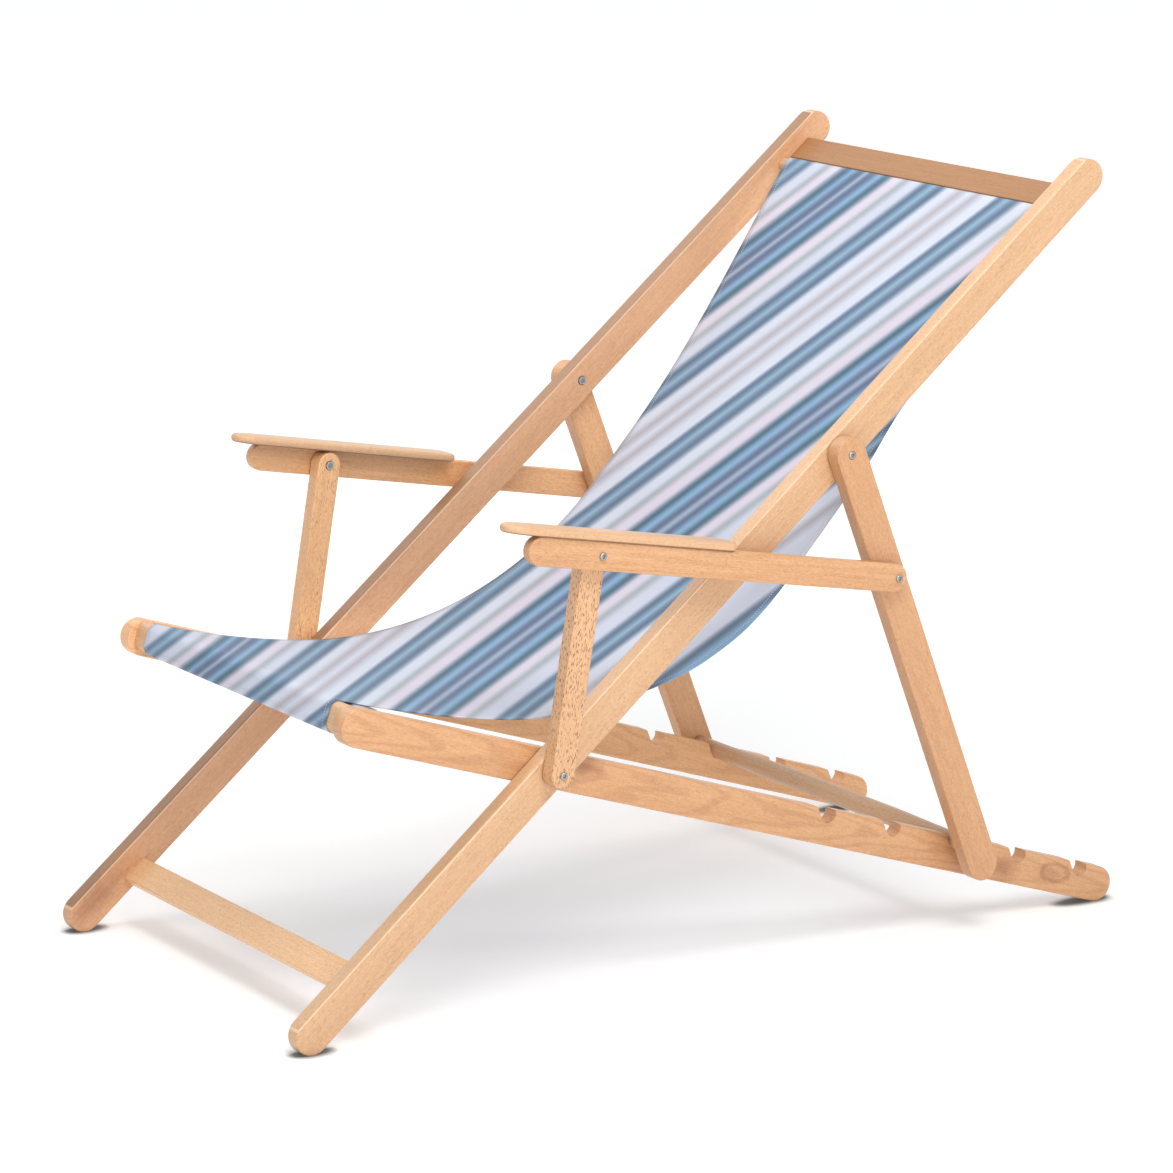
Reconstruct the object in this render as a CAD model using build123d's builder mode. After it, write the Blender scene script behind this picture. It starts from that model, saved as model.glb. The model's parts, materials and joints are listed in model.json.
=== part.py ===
from build123d import *
import os
from math import asin, atan2, cos, degrees, hypot, radians, sin

# A folding deck chair with armrests, opened in the middle of its five notches.
# The sitter faces -Y, +Z is up and +X is the sitter's left. Lengths are millimetres.
# Everything is laid out in the side view, from the round foot of the back rails.

# Slopes of the opened chair, in degrees
back_angle = 39.9
leg_angle = 68.2
post_angle = 80.9
quarter_turn = 90
half_turn = 180

# Boards: width in the side view and thickness across the chair
back_width = 41
back_thick = 19
base_width = 42
base_thick = 21
leg_width = 39
leg_thick = 20
post_width = 29
post_thick = 20
arm_width = 32
arm_thick = 13
edge_round = 1.6
foot_flat = 0.6

# Layers from the middle outwards: base rail, back rail, leg and post, arm
seat_half = 232.5
layer_gap = 1.5

# Distances along the back rail, from the centre of its round foot
foot_to_stretcher = 78.5
foot_to_main_pivot = 389
foot_to_prop_pivot = 879
foot_to_canvas_rod = 1258
foot_to_slat = 1288.5
foot_to_top = 1322

# Distances along the base rail, from the main pivot
pivot_to_nose = 241
pivot_to_bar = 243
pivot_to_heel = 817

# Distances down the prop leg, from its pivot
pivot_to_arm = 154
pivot_to_crossbar = 517
pivot_to_leg_end = 537

# Notches for the crossbar
notch_count = 5
crossbar_notch = 2
notch_pitch = 96.4
notch_play = 0.3
notch_reach = 30
mouth_wide = 60
mouth_high = 16
mouth_round = 3.5
crossbar_radius = 10
crossbar_tenon_radius = 7
crossbar_tenon_depth = 14
seat_gap = 0.4
seat_play = 2

# Cross pieces
slat_width = 35
slat_thick = 12
slat_set = 0.5
stretcher_width = 33
stretcher_thick = 12
stretcher_set = 3.5
slat_round = 1.5
tenon_depth = 12
tenon_shoulder = 2
bar_high = 34
bar_thick = 20
bar_rise = 3
bar_tenon_radius = 7
rod_radius = 8
rod_set = 1
rod_socket = 10
tight_fit = 0.05
socket_play = 0.2

# Canvas: a long easy curve down the back, a tighter one under the seat, and an easy one up to the front rail
canvas_clear = 3.5
canvas_thick = 1.2
canvas_play = 0.3
sheet_angle = 56.9
sheet_hip_back = 368.4
sheet_hip_rise = 191.1
sheet_knee_front = 30.8
sheet_knee_rise = 50.2
sheet_front_angle = 74

# Armrests
arm_overhang = 78.3
arm_rear_set = 4.6
pad_width = 39
pad_thick = 9.5
pad_tip = 124
pad_rear = 175
pad_nose = 38
pad_corner = 12
pad_edge_round = 4.2
dowel_radius = 4
dowel_high = 6
dowel_deep = 16
dowel_end_play = 0.5
dowel_places = (-50, 40, 130)

# Bolts, nuts and washers
bolt_radius = 3
running_fit = 0.08
pocket_play = 0.3
head_radius = 4.5
head_height = 2.6
nut_radius = 5.5
nut_sides = 6
nut_height = 4
proud = 1.2
washer_radius = 9
washer_play = 0.15

canvas_half = seat_half - canvas_clear
base_in = seat_half
base_out = base_in + base_thick
back_in = base_out + layer_gap
back_out = back_in + back_thick
leg_in = back_out + layer_gap
leg_out = leg_in + leg_thick
arm_in = leg_out + layer_gap
arm_out = arm_in + arm_thick
washer_thick = layer_gap - washer_play - washer_play


def along(start, slope, distance):
    return (start[0] + distance * cos(radians(slope)), start[1] + distance * sin(radians(slope)))


def beside(start, slope, distance, rise):
    return along(along(start, slope, distance), slope + quarter_turn, rise)


# The base frame's slope follows from where its round heel meets the floor
foot_high = back_width / 2 - foot_flat
heel_high = base_width / 2 - foot_flat
pivot_high = foot_high + foot_to_main_pivot * sin(radians(back_angle))
base_angle = degrees(asin((pivot_high - heel_high) / pivot_to_heel))
overall_length = (
    foot_to_main_pivot * cos(radians(back_angle))
    + pivot_to_heel * cos(radians(base_angle))
    + back_width / 2
    + base_width / 2
)

# Points of the side view, (y, z)
foot = (back_width / 2 - overall_length / 2, foot_high)
main_pivot = along(foot, back_angle, foot_to_main_pivot)
prop_pivot = along(foot, back_angle, foot_to_prop_pivot)
rod_centre = beside(foot, back_angle, foot_to_canvas_rod, -rod_set)
slat_centre = beside(foot, back_angle, foot_to_slat, -slat_set - slat_thick / 2)
stretcher_centre = beside(foot, back_angle, foot_to_stretcher, -stretcher_set - stretcher_thick / 2)
nose = along(main_pivot, -base_angle, -pivot_to_nose)
bar_centre = beside(main_pivot, -base_angle, -pivot_to_bar, bar_rise)
bar_top = along(bar_centre, quarter_turn - base_angle, (bar_high - bar_thick) / 2)
crossbar = along(prop_pivot, -leg_angle, pivot_to_crossbar)
arm_rear = along(prop_pivot, -leg_angle, pivot_to_arm)

# Post and arm lengths that let both lie along the back rail when the chair is folded
folded_reach = foot_to_prop_pivot + pivot_to_arm - foot_to_main_pivot
rear_y = arm_rear[0] - main_pivot[0]
rear_z = arm_rear[1] - main_pivot[1]
rear_on_post = rear_y * cos(radians(post_angle)) + rear_z * sin(radians(post_angle))
rear_apart = hypot(rear_y, rear_z)
post_length = (folded_reach ** 2 - rear_apart ** 2) / (2 * (folded_reach - rear_on_post))
arm_length = folded_reach - post_length
arm_front = along(main_pivot, post_angle, post_length)
arm_angle = degrees(atan2(arm_rear[1] - arm_front[1], arm_rear[0] - arm_front[0]))

# Crossbar seen from the main pivot, along and above the base rail
bar_y = crossbar[0] - main_pivot[0]
bar_z = crossbar[1] - main_pivot[1]
crossbar_along = bar_y * cos(radians(base_angle)) - bar_z * sin(radians(base_angle))
crossbar_above = bar_y * sin(radians(base_angle)) + bar_z * cos(radians(base_angle))
notch_turn = half_turn - leg_angle + base_angle


def side_plane(low):
    return Plane.YZ.offset(low)


def low_side(side, inner, thick):
    if side > 0:
        return inner
    return -inner - thick


def board(side, inner, thick, start, slope, length, width):
    """a board with round ends, centred on start and on the point at length"""
    with BuildSketch(side_plane(low_side(side, inner, thick))) as outline:
        with Locations(along(start, slope, length / 2)):
            SlotCenterToCenter(length, width, rotation=slope)
    extrude(outline.sketch, amount=thick)


def soften(piece):
    """round the long edges of a board"""
    fillet(piece.faces().filter_by(Axis.X).edges(), radius=edge_round)


def disc(side, inner, thick, points, radius, mode=Mode.ADD):
    with BuildSketch(side_plane(low_side(side, inner, thick))) as outline:
        with Locations(*points):
            Circle(radius)
    extrude(outline.sketch, amount=thick, mode=mode)


def nut(side, inner, points):
    with BuildSketch(side_plane(low_side(side, inner, nut_height))) as outline:
        with Locations(*points):
            RegularPolygon(radius=nut_radius, side_count=nut_sides)
    extrude(outline.sketch, amount=nut_height)
    disc(side, inner, nut_height, points, bolt_radius + tight_fit, Mode.SUBTRACT)


def bolt(side, inner, outer, points, head):
    """a shaft between two faces with a round head outside it"""
    disc(side, inner, outer - inner, points, bolt_radius)
    if head:
        disc(side, outer, head_height, points, head_radius)


def washer(side, inner, points):
    disc(side, inner + washer_play, washer_thick, points, washer_radius)
    disc(side, inner, layer_gap, points, bolt_radius + running_fit, Mode.SUBTRACT)


def cross_piece(centre, slope, width, thick, half, round_by):
    """a flat cross piece between two boards, with a tenon at each end"""
    with BuildSketch(side_plane(-half)) as outline:
        with Locations(centre):
            Rectangle(width, thick, rotation=slope)
        fillet(outline.vertices(), radius=round_by)
    extrude(outline.sketch, amount=half + half)
    reach = half + tenon_depth
    with BuildSketch(side_plane(-reach)) as tenon:
        with Locations(centre):
            Rectangle(width - tenon_shoulder * 2, thick - tenon_shoulder * 2, rotation=slope)
    extrude(tenon.sketch, amount=reach + reach)


def mortise(side, inner, centre, slope, width, thick):
    deep = tenon_depth + socket_play
    with BuildSketch(side_plane(low_side(side, inner, deep))) as hole:
        with Locations(centre):
            Rectangle(
                width - tenon_shoulder * 2 + tight_fit * 2,
                thick - tenon_shoulder * 2 + tight_fit * 2,
                rotation=slope,
            )
    extrude(hole.sketch, amount=deep, mode=Mode.SUBTRACT)


def socket(side, inner, deep, centre, radius):
    disc(side, inner, deep + socket_play, [centre], radius + tight_fit, Mode.SUBTRACT)


def keep(piece, name):
    piece.part.label = name
    export_step(piece.part, "parts/" + name + ".step")


def back_rail(side, piece):
    board(side, back_in, back_thick, foot, back_angle, foot_to_top, back_width)
    soften(piece)
    split(bisect_by=Plane.XY, keep=Keep.TOP)
    pivots = [main_pivot, prop_pivot]
    disc(side, back_in, back_thick, pivots, bolt_radius + tight_fit, Mode.SUBTRACT)
    disc(side, back_in, nut_height - proud + washer_play, [prop_pivot], nut_radius + pocket_play, Mode.SUBTRACT)
    mortise(side, back_in, slat_centre, back_angle, slat_width, slat_thick)
    mortise(side, back_in, stretcher_centre, back_angle, stretcher_width, stretcher_thick)
    socket(side, back_in, rod_socket, rod_centre, rod_radius)


def rail_plane(low):
    """the side view turned to the base rail, with the main pivot as its origin"""
    rail_way = (0, cos(radians(base_angle)), -sin(radians(base_angle)))
    return Plane(origin=(low, main_pivot[0], main_pivot[1]), x_dir=rail_way, z_dir=(1, 0, 0))


def cut_notch(side, place):
    top = base_width / 2
    with BuildSketch(rail_plane(low_side(side, base_in, base_thick))) as notch:
        with Locations(along((place, crossbar_above), notch_turn, notch_reach / 2)):
            SlotCenterToCenter(notch_reach, (crossbar_radius + notch_play) * 2, rotation=notch_turn)
        with Locations((place - crossbar_radius, top + mouth_high / 2)):
            Rectangle(mouth_wide, mouth_high)
        corners = notch.vertices().filter_by_position(Axis.Y, top - foot_flat, top + foot_flat)
        fillet(corners.sort_by(Axis.X)[1], radius=mouth_round)
    extrude(notch.sketch, amount=base_thick, mode=Mode.SUBTRACT)


def base_rail(side, piece):
    board(side, base_in, base_thick, nose, -base_angle, pivot_to_nose + pivot_to_heel, base_width)
    soften(piece)
    split(bisect_by=Plane.XY, keep=Keep.TOP)
    for index in range(notch_count):
        cut_notch(side, crossbar_along + (index - crossbar_notch) * notch_pitch)
    disc(side, base_in, base_thick, [main_pivot], bolt_radius + running_fit, Mode.SUBTRACT)
    socket(side, base_in, tenon_depth, bar_centre, bar_tenon_radius)


def prop_leg(side, piece):
    board(side, leg_in, leg_thick, prop_pivot, -leg_angle, pivot_to_leg_end, leg_width)
    soften(piece)
    disc(side, leg_in, leg_thick, [prop_pivot], bolt_radius + running_fit, Mode.SUBTRACT)
    disc(side, leg_in, leg_thick, [arm_rear], bolt_radius + tight_fit, Mode.SUBTRACT)
    head_deep = head_height - proud + washer_play
    disc(side, leg_out - head_deep, head_deep, [prop_pivot], head_radius + pocket_play, Mode.SUBTRACT)
    disc(side, leg_in, nut_height - proud + washer_play, [arm_rear], nut_radius + pocket_play, Mode.SUBTRACT)
    socket(side, leg_in, crossbar_tenon_depth, crossbar, crossbar_tenon_radius)


def arm_post(side, piece):
    board(side, leg_in, post_thick, main_pivot, post_angle, post_length, post_width)
    soften(piece)
    pivots = [main_pivot, arm_front]
    disc(side, leg_in, post_thick, pivots, bolt_radius + running_fit, Mode.SUBTRACT)
    disc(side, leg_in, nut_height - proud + washer_play, [arm_front], nut_radius + pocket_play, Mode.SUBTRACT)


def pad_plane(side, low):
    """the armrest's top seen from above: first axis along the arm, second towards the right"""
    arm_way = (0, cos(radians(arm_angle)), sin(radians(arm_angle)))
    up_way = (0, -sin(radians(arm_angle)), cos(radians(arm_angle)))
    start = along(arm_front, arm_angle + quarter_turn, low)
    centre = side * (leg_in + pad_width / 2)
    return Plane(origin=(centre, start[0], start[1]), x_dir=arm_way, z_dir=up_way)


def dowels(side, low, high, radius, mode=Mode.ADD):
    bar_middle = side * ((arm_in + arm_out) / 2 - leg_in - pad_width / 2)
    with BuildSketch(pad_plane(side, low)) as rounds:
        with Locations(*[(place, -bar_middle) for place in dowel_places]):
            Circle(radius)
    extrude(rounds.sketch, amount=high - low, mode=mode)


def arm_bar(side, piece):
    length = arm_overhang + arm_length - arm_rear_set
    start = along(arm_front, arm_angle, -arm_overhang)
    board(side, arm_in, arm_thick, start, arm_angle, length, arm_width)
    soften(piece)
    disc(side, arm_in, arm_thick, [arm_front, arm_rear], bolt_radius + tight_fit, Mode.SUBTRACT)
    top = arm_width / 2
    dowels(side, top - dowel_deep / 2 - dowel_end_play, top, dowel_radius + tight_fit, Mode.SUBTRACT)


def arm_pad(side, piece):
    top = arm_width / 2
    half = pad_width / 2
    with BuildSketch(pad_plane(side, top)) as outline:
        with BuildLine():
            nose_line = EllipticalCenterArc(
                (pad_nose - pad_tip, 0),
                pad_nose,
                half,
                start_angle=quarter_turn,
                arc_size=half_turn,
            )
            Polyline(nose_line @ 1, (pad_rear, -half), (pad_rear, half), nose_line @ 0)
        make_face()
        rear = outline.vertices().group_by(Axis.X)[-1]
        fillet(rear, radius=pad_corner)
    extrude(outline.sketch, amount=pad_thick)
    up_axis = Axis(origin=(0, 0, 0), direction=pad_plane(side, top).z_dir)
    flats = piece.faces().sort_by(up_axis)
    fillet(flats[-1].edges() + flats[0].edges(), radius=pad_edge_round)
    dowels(side, top, top + dowel_high + dowel_end_play, dowel_radius + tight_fit, Mode.SUBTRACT)


def pad_dowels(side, piece):
    top = arm_width / 2
    dowels(side, top - dowel_deep / 2, top + dowel_high, dowel_radius)


os.makedirs("parts", exist_ok=True)

with BuildPart() as back_rail_left:
    back_rail(1, back_rail_left)
keep(back_rail_left, "back_rail_left")

with BuildPart() as back_rail_right:
    back_rail(-1, back_rail_right)
keep(back_rail_right, "back_rail_right")

with BuildPart() as top_slat:
    cross_piece(slat_centre, back_angle, slat_width, slat_thick, back_in, slat_round)
keep(top_slat, "top_slat")

with BuildPart() as foot_stretcher:
    cross_piece(stretcher_centre, back_angle, stretcher_width, stretcher_thick, back_in, slat_round)
keep(foot_stretcher, "foot_stretcher")

with BuildPart() as canvas_rod:
    rod_half = back_in + rod_socket
    disc(1, -rod_half, rod_half + rod_half, [rod_centre], rod_radius)
keep(canvas_rod, "canvas_rod")

with BuildPart() as front_rail:
    with BuildSketch(side_plane(-base_in)) as bar_outline:
        with Locations(bar_centre):
            SlotOverall(bar_high, bar_thick, rotation=quarter_turn - base_angle)
    extrude(bar_outline.sketch, amount=base_in + base_in)
    bar_reach = base_in + tenon_depth
    disc(1, -bar_reach, bar_reach + bar_reach, [bar_centre], bar_tenon_radius)
keep(front_rail, "front_rail")

with BuildPart() as canvas:
    loop_middle = canvas_play + canvas_thick / 2
    loop_outer = canvas_play + canvas_thick
    sheet_start = along(rod_centre, sheet_angle + quarter_turn, rod_radius + loop_middle)
    sheet_hip = (main_pivot[0] + sheet_hip_back, main_pivot[1] + sheet_hip_rise)
    sheet_knee = (main_pivot[0] - sheet_knee_front, main_pivot[1] + sheet_knee_rise)
    sheet_front = along(bar_top, sheet_front_angle, bar_thick / 2 + loop_middle)
    with BuildSketch(side_plane(-canvas_half)) as sheet:
        with BuildLine() as sheet_line:
            sheet_heading = (-cos(radians(sheet_angle)), -sin(radians(sheet_angle)))
            back_line = TangentArc(sheet_start, sheet_hip, tangent=sheet_heading)
            seat_line = TangentArc(sheet_hip, sheet_knee, tangent=back_line % 1)
            knee_line = TangentArc(sheet_knee, sheet_front, tangent=seat_line % 1)
        trace(lines=sheet_line.wires(), line_width=canvas_thick)
        with Locations(rod_centre):
            Circle(rod_radius + loop_outer)
            Circle(rod_radius + canvas_play, mode=Mode.SUBTRACT)
        with Locations(bar_centre):
            SlotOverall(bar_high + loop_outer * 2, bar_thick + loop_outer * 2, rotation=quarter_turn - base_angle)
            SlotOverall(
                bar_high + canvas_play * 2,
                bar_thick + canvas_play * 2,
                rotation=quarter_turn - base_angle,
                mode=Mode.SUBTRACT,
            )
    extrude(sheet.sketch, amount=canvas_half + canvas_half)
keep(canvas, "canvas")

with BuildPart() as base_rail_left:
    base_rail(1, base_rail_left)
keep(base_rail_left, "base_rail_left")

with BuildPart() as base_rail_right:
    base_rail(-1, base_rail_right)
keep(base_rail_right, "base_rail_right")

with BuildPart() as prop_leg_left:
    prop_leg(1, prop_leg_left)
keep(prop_leg_left, "prop_leg_left")

with BuildPart() as prop_leg_right:
    prop_leg(-1, prop_leg_right)
keep(prop_leg_right, "prop_leg_right")

# The crossbar is eased over the base rails, so that it can pass the teeth in the folding motion
with BuildPart() as prop_crossbar:
    disc(1, -leg_in, leg_in + leg_in, [crossbar], crossbar_radius)
    crossbar_reach = leg_in + crossbar_tenon_depth
    disc(1, -crossbar_reach, crossbar_reach + crossbar_reach, [crossbar], crossbar_tenon_radius)
    ease_long = base_thick + seat_play + seat_play
    for side in (1, -1):
        with BuildSketch(rail_plane(low_side(side, base_in - seat_play, ease_long))) as ease:
            with Locations((crossbar_along, base_width / 2 + seat_gap - crossbar_radius)):
                Rectangle(crossbar_radius * 3, crossbar_radius * 2)
        extrude(ease.sketch, amount=ease_long, mode=Mode.SUBTRACT)
keep(prop_crossbar, "prop_crossbar")

with BuildPart() as arm_post_left:
    arm_post(1, arm_post_left)
keep(arm_post_left, "arm_post_left")

with BuildPart() as arm_post_right:
    arm_post(-1, arm_post_right)
keep(arm_post_right, "arm_post_right")

with BuildPart() as arm_bar_left:
    arm_bar(1, arm_bar_left)
keep(arm_bar_left, "arm_bar_left")

with BuildPart() as arm_bar_right:
    arm_bar(-1, arm_bar_right)
keep(arm_bar_right, "arm_bar_right")

with BuildPart() as arm_pad_left:
    arm_pad(1, arm_pad_left)
keep(arm_pad_left, "arm_pad_left")

with BuildPart() as arm_pad_right:
    arm_pad(-1, arm_pad_right)
keep(arm_pad_right, "arm_pad_right")

with BuildPart() as pad_dowels_left:
    pad_dowels(1, pad_dowels_left)
keep(pad_dowels_left, "pad_dowels_left")

with BuildPart() as pad_dowels_right:
    pad_dowels(-1, pad_dowels_right)
keep(pad_dowels_right, "pad_dowels_right")

# Main pivot: one bolt on each side through post, back rail and base rail
main_nut_in = base_in - washer_play - nut_height
with BuildPart() as main_pivot_bolts:
    for side in (1, -1):
        bolt(side, main_nut_in, leg_out + washer_play, [main_pivot], True)
keep(main_pivot_bolts, "main_pivot_bolts")

with BuildPart() as main_pivot_nuts:
    for side in (1, -1):
        nut(side, main_nut_in, [main_pivot])
keep(main_pivot_nuts, "main_pivot_nuts")

# Prop pivot: head sunk into the leg, nut sunk into the back rail
with BuildPart() as prop_pivot_bolts:
    for side in (1, -1):
        bolt(side, back_in - proud, leg_out + proud - head_height, [prop_pivot], True)
keep(prop_pivot_bolts, "prop_pivot_bolts")

with BuildPart() as prop_pivot_nuts:
    for side in (1, -1):
        nut(side, back_in - proud, [prop_pivot])
keep(prop_pivot_nuts, "prop_pivot_nuts")

with BuildPart() as base_washers:
    for side in (1, -1):
        washer(side, base_out, [main_pivot])
keep(base_washers, "base_washers")

with BuildPart() as post_washers:
    for side in (1, -1):
        washer(side, back_out, [main_pivot])
keep(post_washers, "post_washers")

with BuildPart() as leg_washers:
    for side in (1, -1):
        washer(side, back_out, [prop_pivot])
keep(leg_washers, "leg_washers")

# Studs that take the rear end of the arms
with BuildPart() as arm_studs:
    for side in (1, -1):
        bolt(side, leg_in - proud, leg_out, [arm_rear], False)
keep(arm_studs, "arm_studs")

with BuildPart() as arm_stud_nuts:
    for side in (1, -1):
        nut(side, leg_in - proud, [arm_rear])
keep(arm_stud_nuts, "arm_stud_nuts")

with BuildPart() as arm_front_bolt_left:
    bolt(1, leg_in - proud, arm_out, [arm_front], True)
keep(arm_front_bolt_left, "arm_front_bolt_left")

with BuildPart() as arm_front_bolt_right:
    bolt(-1, leg_in - proud, arm_out, [arm_front], True)
keep(arm_front_bolt_right, "arm_front_bolt_right")

with BuildPart() as arm_front_nut_left:
    nut(1, leg_in - proud, [arm_front])
keep(arm_front_nut_left, "arm_front_nut_left")

with BuildPart() as arm_front_nut_right:
    nut(-1, leg_in - proud, [arm_front])
keep(arm_front_nut_right, "arm_front_nut_right")

with BuildPart() as arm_washer_left:
    washer(1, leg_out, [arm_front])
keep(arm_washer_left, "arm_washer_left")

with BuildPart() as arm_washer_right:
    washer(-1, leg_out, [arm_front])
keep(arm_washer_right, "arm_washer_right")

with BuildPart() as arm_rear_bolt_left:
    bolt(1, arm_in, arm_out, [arm_rear], True)
keep(arm_rear_bolt_left, "arm_rear_bolt_left")

with BuildPart() as arm_rear_bolt_right:
    bolt(-1, arm_in, arm_out, [arm_rear], True)
keep(arm_rear_bolt_right, "arm_rear_bolt_right")

print("base angle", base_angle, "post length", post_length, "arm length", arm_length)
print("arm angle", arm_angle, "overall length", overall_length)
print("foot", foot, "main pivot", main_pivot, "prop pivot", prop_pivot)
print("arm front", arm_front, "arm rear", arm_rear, "crossbar", crossbar)
print("turns", back_angle + leg_angle, back_angle + base_angle, back_angle - post_angle, post_angle - arm_angle)
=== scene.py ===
import json
from math import atan2, cos, degrees, hypot, pi, radians, sin

import bmesh
import bpy
from mathutils import Matrix, Vector


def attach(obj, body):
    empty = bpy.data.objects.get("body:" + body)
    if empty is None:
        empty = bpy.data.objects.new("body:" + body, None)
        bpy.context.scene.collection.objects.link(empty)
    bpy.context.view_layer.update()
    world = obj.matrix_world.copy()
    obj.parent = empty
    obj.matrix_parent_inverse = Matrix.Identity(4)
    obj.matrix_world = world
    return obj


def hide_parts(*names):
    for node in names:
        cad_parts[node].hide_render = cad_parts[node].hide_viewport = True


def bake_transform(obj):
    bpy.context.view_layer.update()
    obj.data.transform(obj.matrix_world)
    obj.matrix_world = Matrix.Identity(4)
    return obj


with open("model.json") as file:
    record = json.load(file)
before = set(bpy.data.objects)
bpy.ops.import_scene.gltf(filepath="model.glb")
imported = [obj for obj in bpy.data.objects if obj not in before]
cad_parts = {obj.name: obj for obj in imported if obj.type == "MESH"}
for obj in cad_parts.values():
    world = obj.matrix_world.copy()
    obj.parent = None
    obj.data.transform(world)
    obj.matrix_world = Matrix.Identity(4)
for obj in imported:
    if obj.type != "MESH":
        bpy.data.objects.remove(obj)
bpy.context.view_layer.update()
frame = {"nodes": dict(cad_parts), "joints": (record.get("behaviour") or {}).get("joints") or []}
nodes = frame["nodes"]
pivots = {joint["name"]: tuple(joint["pos_m"][1:]) for joint in frame["joints"]}
print("frame loaded", len(nodes), "nodes")

# The chair's side view: (y, z) in metres of its foot, pivots and crossbar, and its boards' slopes in degrees
chair = {
    "foot": (-0.538525, 0.0199),
    "mainPivot": pivots["base_fold"],
    "propPivot": pivots["prop_fold"],
    "armFront": pivots["arm_turn_left"],
    "armRear": (0.193003, 0.440747),
    "crossbar": (0.327810, 0.103707),
    "backSlope": 39.9,
    "baseSlope": -17.746,
    "legSlope": -68.2,
    "postSlope": 80.9,
    "armSlope": -9.921,
}
quarterTurn = 90
halfTurn = 180
tiny = 1e-6

# The photo's camera: where it stands, its axes in the world, and its lens and sensor in millimetres
cameraLook = {
    "place": (4.346959, -2.841826, 1.553513),
    "right": (0.542830, 0.839804, 0.008030),
    "up": (-0.187223, 0.111685, 0.975948),
    "back": (0.818708, -0.531277, 0.217856),
    "lens": 142.04,
    "sensor": 36.0,
    "photoSide": 1173,
    "farthest": 200,
}


def along(start, slope, distance):
    return (start[0] + distance * cos(radians(slope)), start[1] + distance * sin(radians(slope)))


def smooth(share):
    share = max(0.0, min(1.0, share))
    return share * share * (3 - 2 * share)


# Shader maths: a Value wraps a socket, and + - * / ** on it add Math nodes
class Value:
    def __init__(self, shader, socket):
        self.shader = shader
        self.socket = socket

    def maths(self, operation, first, second=0.0):
        return self.shader.make("ShaderNodeMath", {"operation": operation}, {0: first, 1: second})

    def __add__(self, other):
        return self.maths("ADD", self, other)

    def __radd__(self, other):
        return self.maths("ADD", other, self)

    def __sub__(self, other):
        return self.maths("SUBTRACT", self, other)

    def __rsub__(self, other):
        return self.maths("SUBTRACT", other, self)

    def __mul__(self, other):
        return self.maths("MULTIPLY", self, other)

    def __rmul__(self, other):
        return self.maths("MULTIPLY", other, self)

    def __truediv__(self, other):
        return self.maths("DIVIDE", self, other)

    def __rtruediv__(self, other):
        return self.maths("DIVIDE", other, self)

    def __pow__(self, other):
        return self.maths("POWER", self, other)

    def sine(self):
        return self.maths("SINE", self)

    def size(self):
        return self.maths("ABSOLUTE", self)

    def over(self, limit):
        return self.maths("GREATER_THAN", self, limit)

    def above(self, low, high):
        # 0 below low, 1 above high, smooth between
        inputs = {"Value": self, "From Min": low, "From Max": high, "To Min": 0.0, "To Max": 1.0}
        return self.shader.make("ShaderNodeMapRange", {"interpolation_type": "SMOOTHSTEP"}, inputs)


class Shader:
    def __init__(self, owner, output="ShaderNodeOutputMaterial"):
        owner.use_nodes = True
        self.owner = owner
        self.tree = owner.node_tree
        self.tree.nodes.clear()
        self.output = self.tree.nodes.new(output)

    def make(self, kind, settings=None, inputs=None, output=0):
        node = self.tree.nodes.new(kind)
        for key, value in (settings or {}).items():
            if key == "stops":
                ramp = node.color_ramp
                ramp.elements.remove(ramp.elements[1])
                ramp.elements[0].position = value[0][0]
                ramp.elements[0].color = (*value[0][1], 1.0)
                for place, colour in value[1:]:
                    ramp.elements.new(place).color = (*colour, 1.0)
            else:
                setattr(node, key, value)
        for key, value in (inputs or {}).items():
            self.give(node.inputs[key], value)
        return Value(self, node.outputs[output])

    def give(self, socket, value):
        if isinstance(value, Value):
            self.tree.links.new(value.socket, socket)
        elif socket.type == "RGBA" and len(value) == 3:
            socket.default_value = (*value, 1.0)
        else:
            socket.default_value = value

    def finish(self, **inputs):
        # the surface shader, its inputs named with _ for each space
        named = {key.replace("_", " "): value for key, value in inputs.items()}
        self.give(self.output.inputs[0], self.make("ShaderNodeBsdfPrincipled", None, named))
        return self.owner

    def place(self, origin=(0, 0, 0), turn=(0, 0, 0), size=(1, 1, 1)):
        # coordinates counted from origin along turned axes, in units of size
        inputs = {"Location": origin, "Rotation": turn, "Scale": size}
        inputs["Vector"] = self.make("ShaderNodeTexCoord", output="Object")
        return self.make("ShaderNodeMapping", {"vector_type": "TEXTURE"}, inputs)

    def noise(self, vector, scale, detail, roughness):
        inputs = {"Vector": vector, "Scale": scale, "Detail": detail, "Roughness": roughness}
        return self.make("ShaderNodeTexNoise", None, inputs)

    def stretch(self, vector, factors):
        settings = {"operation": "MULTIPLY"}
        return self.make("ShaderNodeVectorMath", settings, {0: vector, 1: factors})

    def part(self, vector, axis):
        return self.make("ShaderNodeSeparateXYZ", None, {0: vector}, axis)

    def grey(self, level):
        return self.make("ShaderNodeCombineColor", None, {0: level, 1: level, 2: level})

    def mix(self, share, first, second, blend="MIX"):
        settings = {"data_type": "RGBA", "blend_type": blend}
        return self.make("ShaderNodeMix", settings, {0: share, 6: first, 7: second}, 2)

    def bump(self, height, distance, strength, normal=None):
        inputs = {"Height": height, "Distance": distance, "Strength": strength}
        if normal is not None:
            inputs["Normal"] = normal
        return self.make("ShaderNodeBump", None, inputs)


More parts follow.
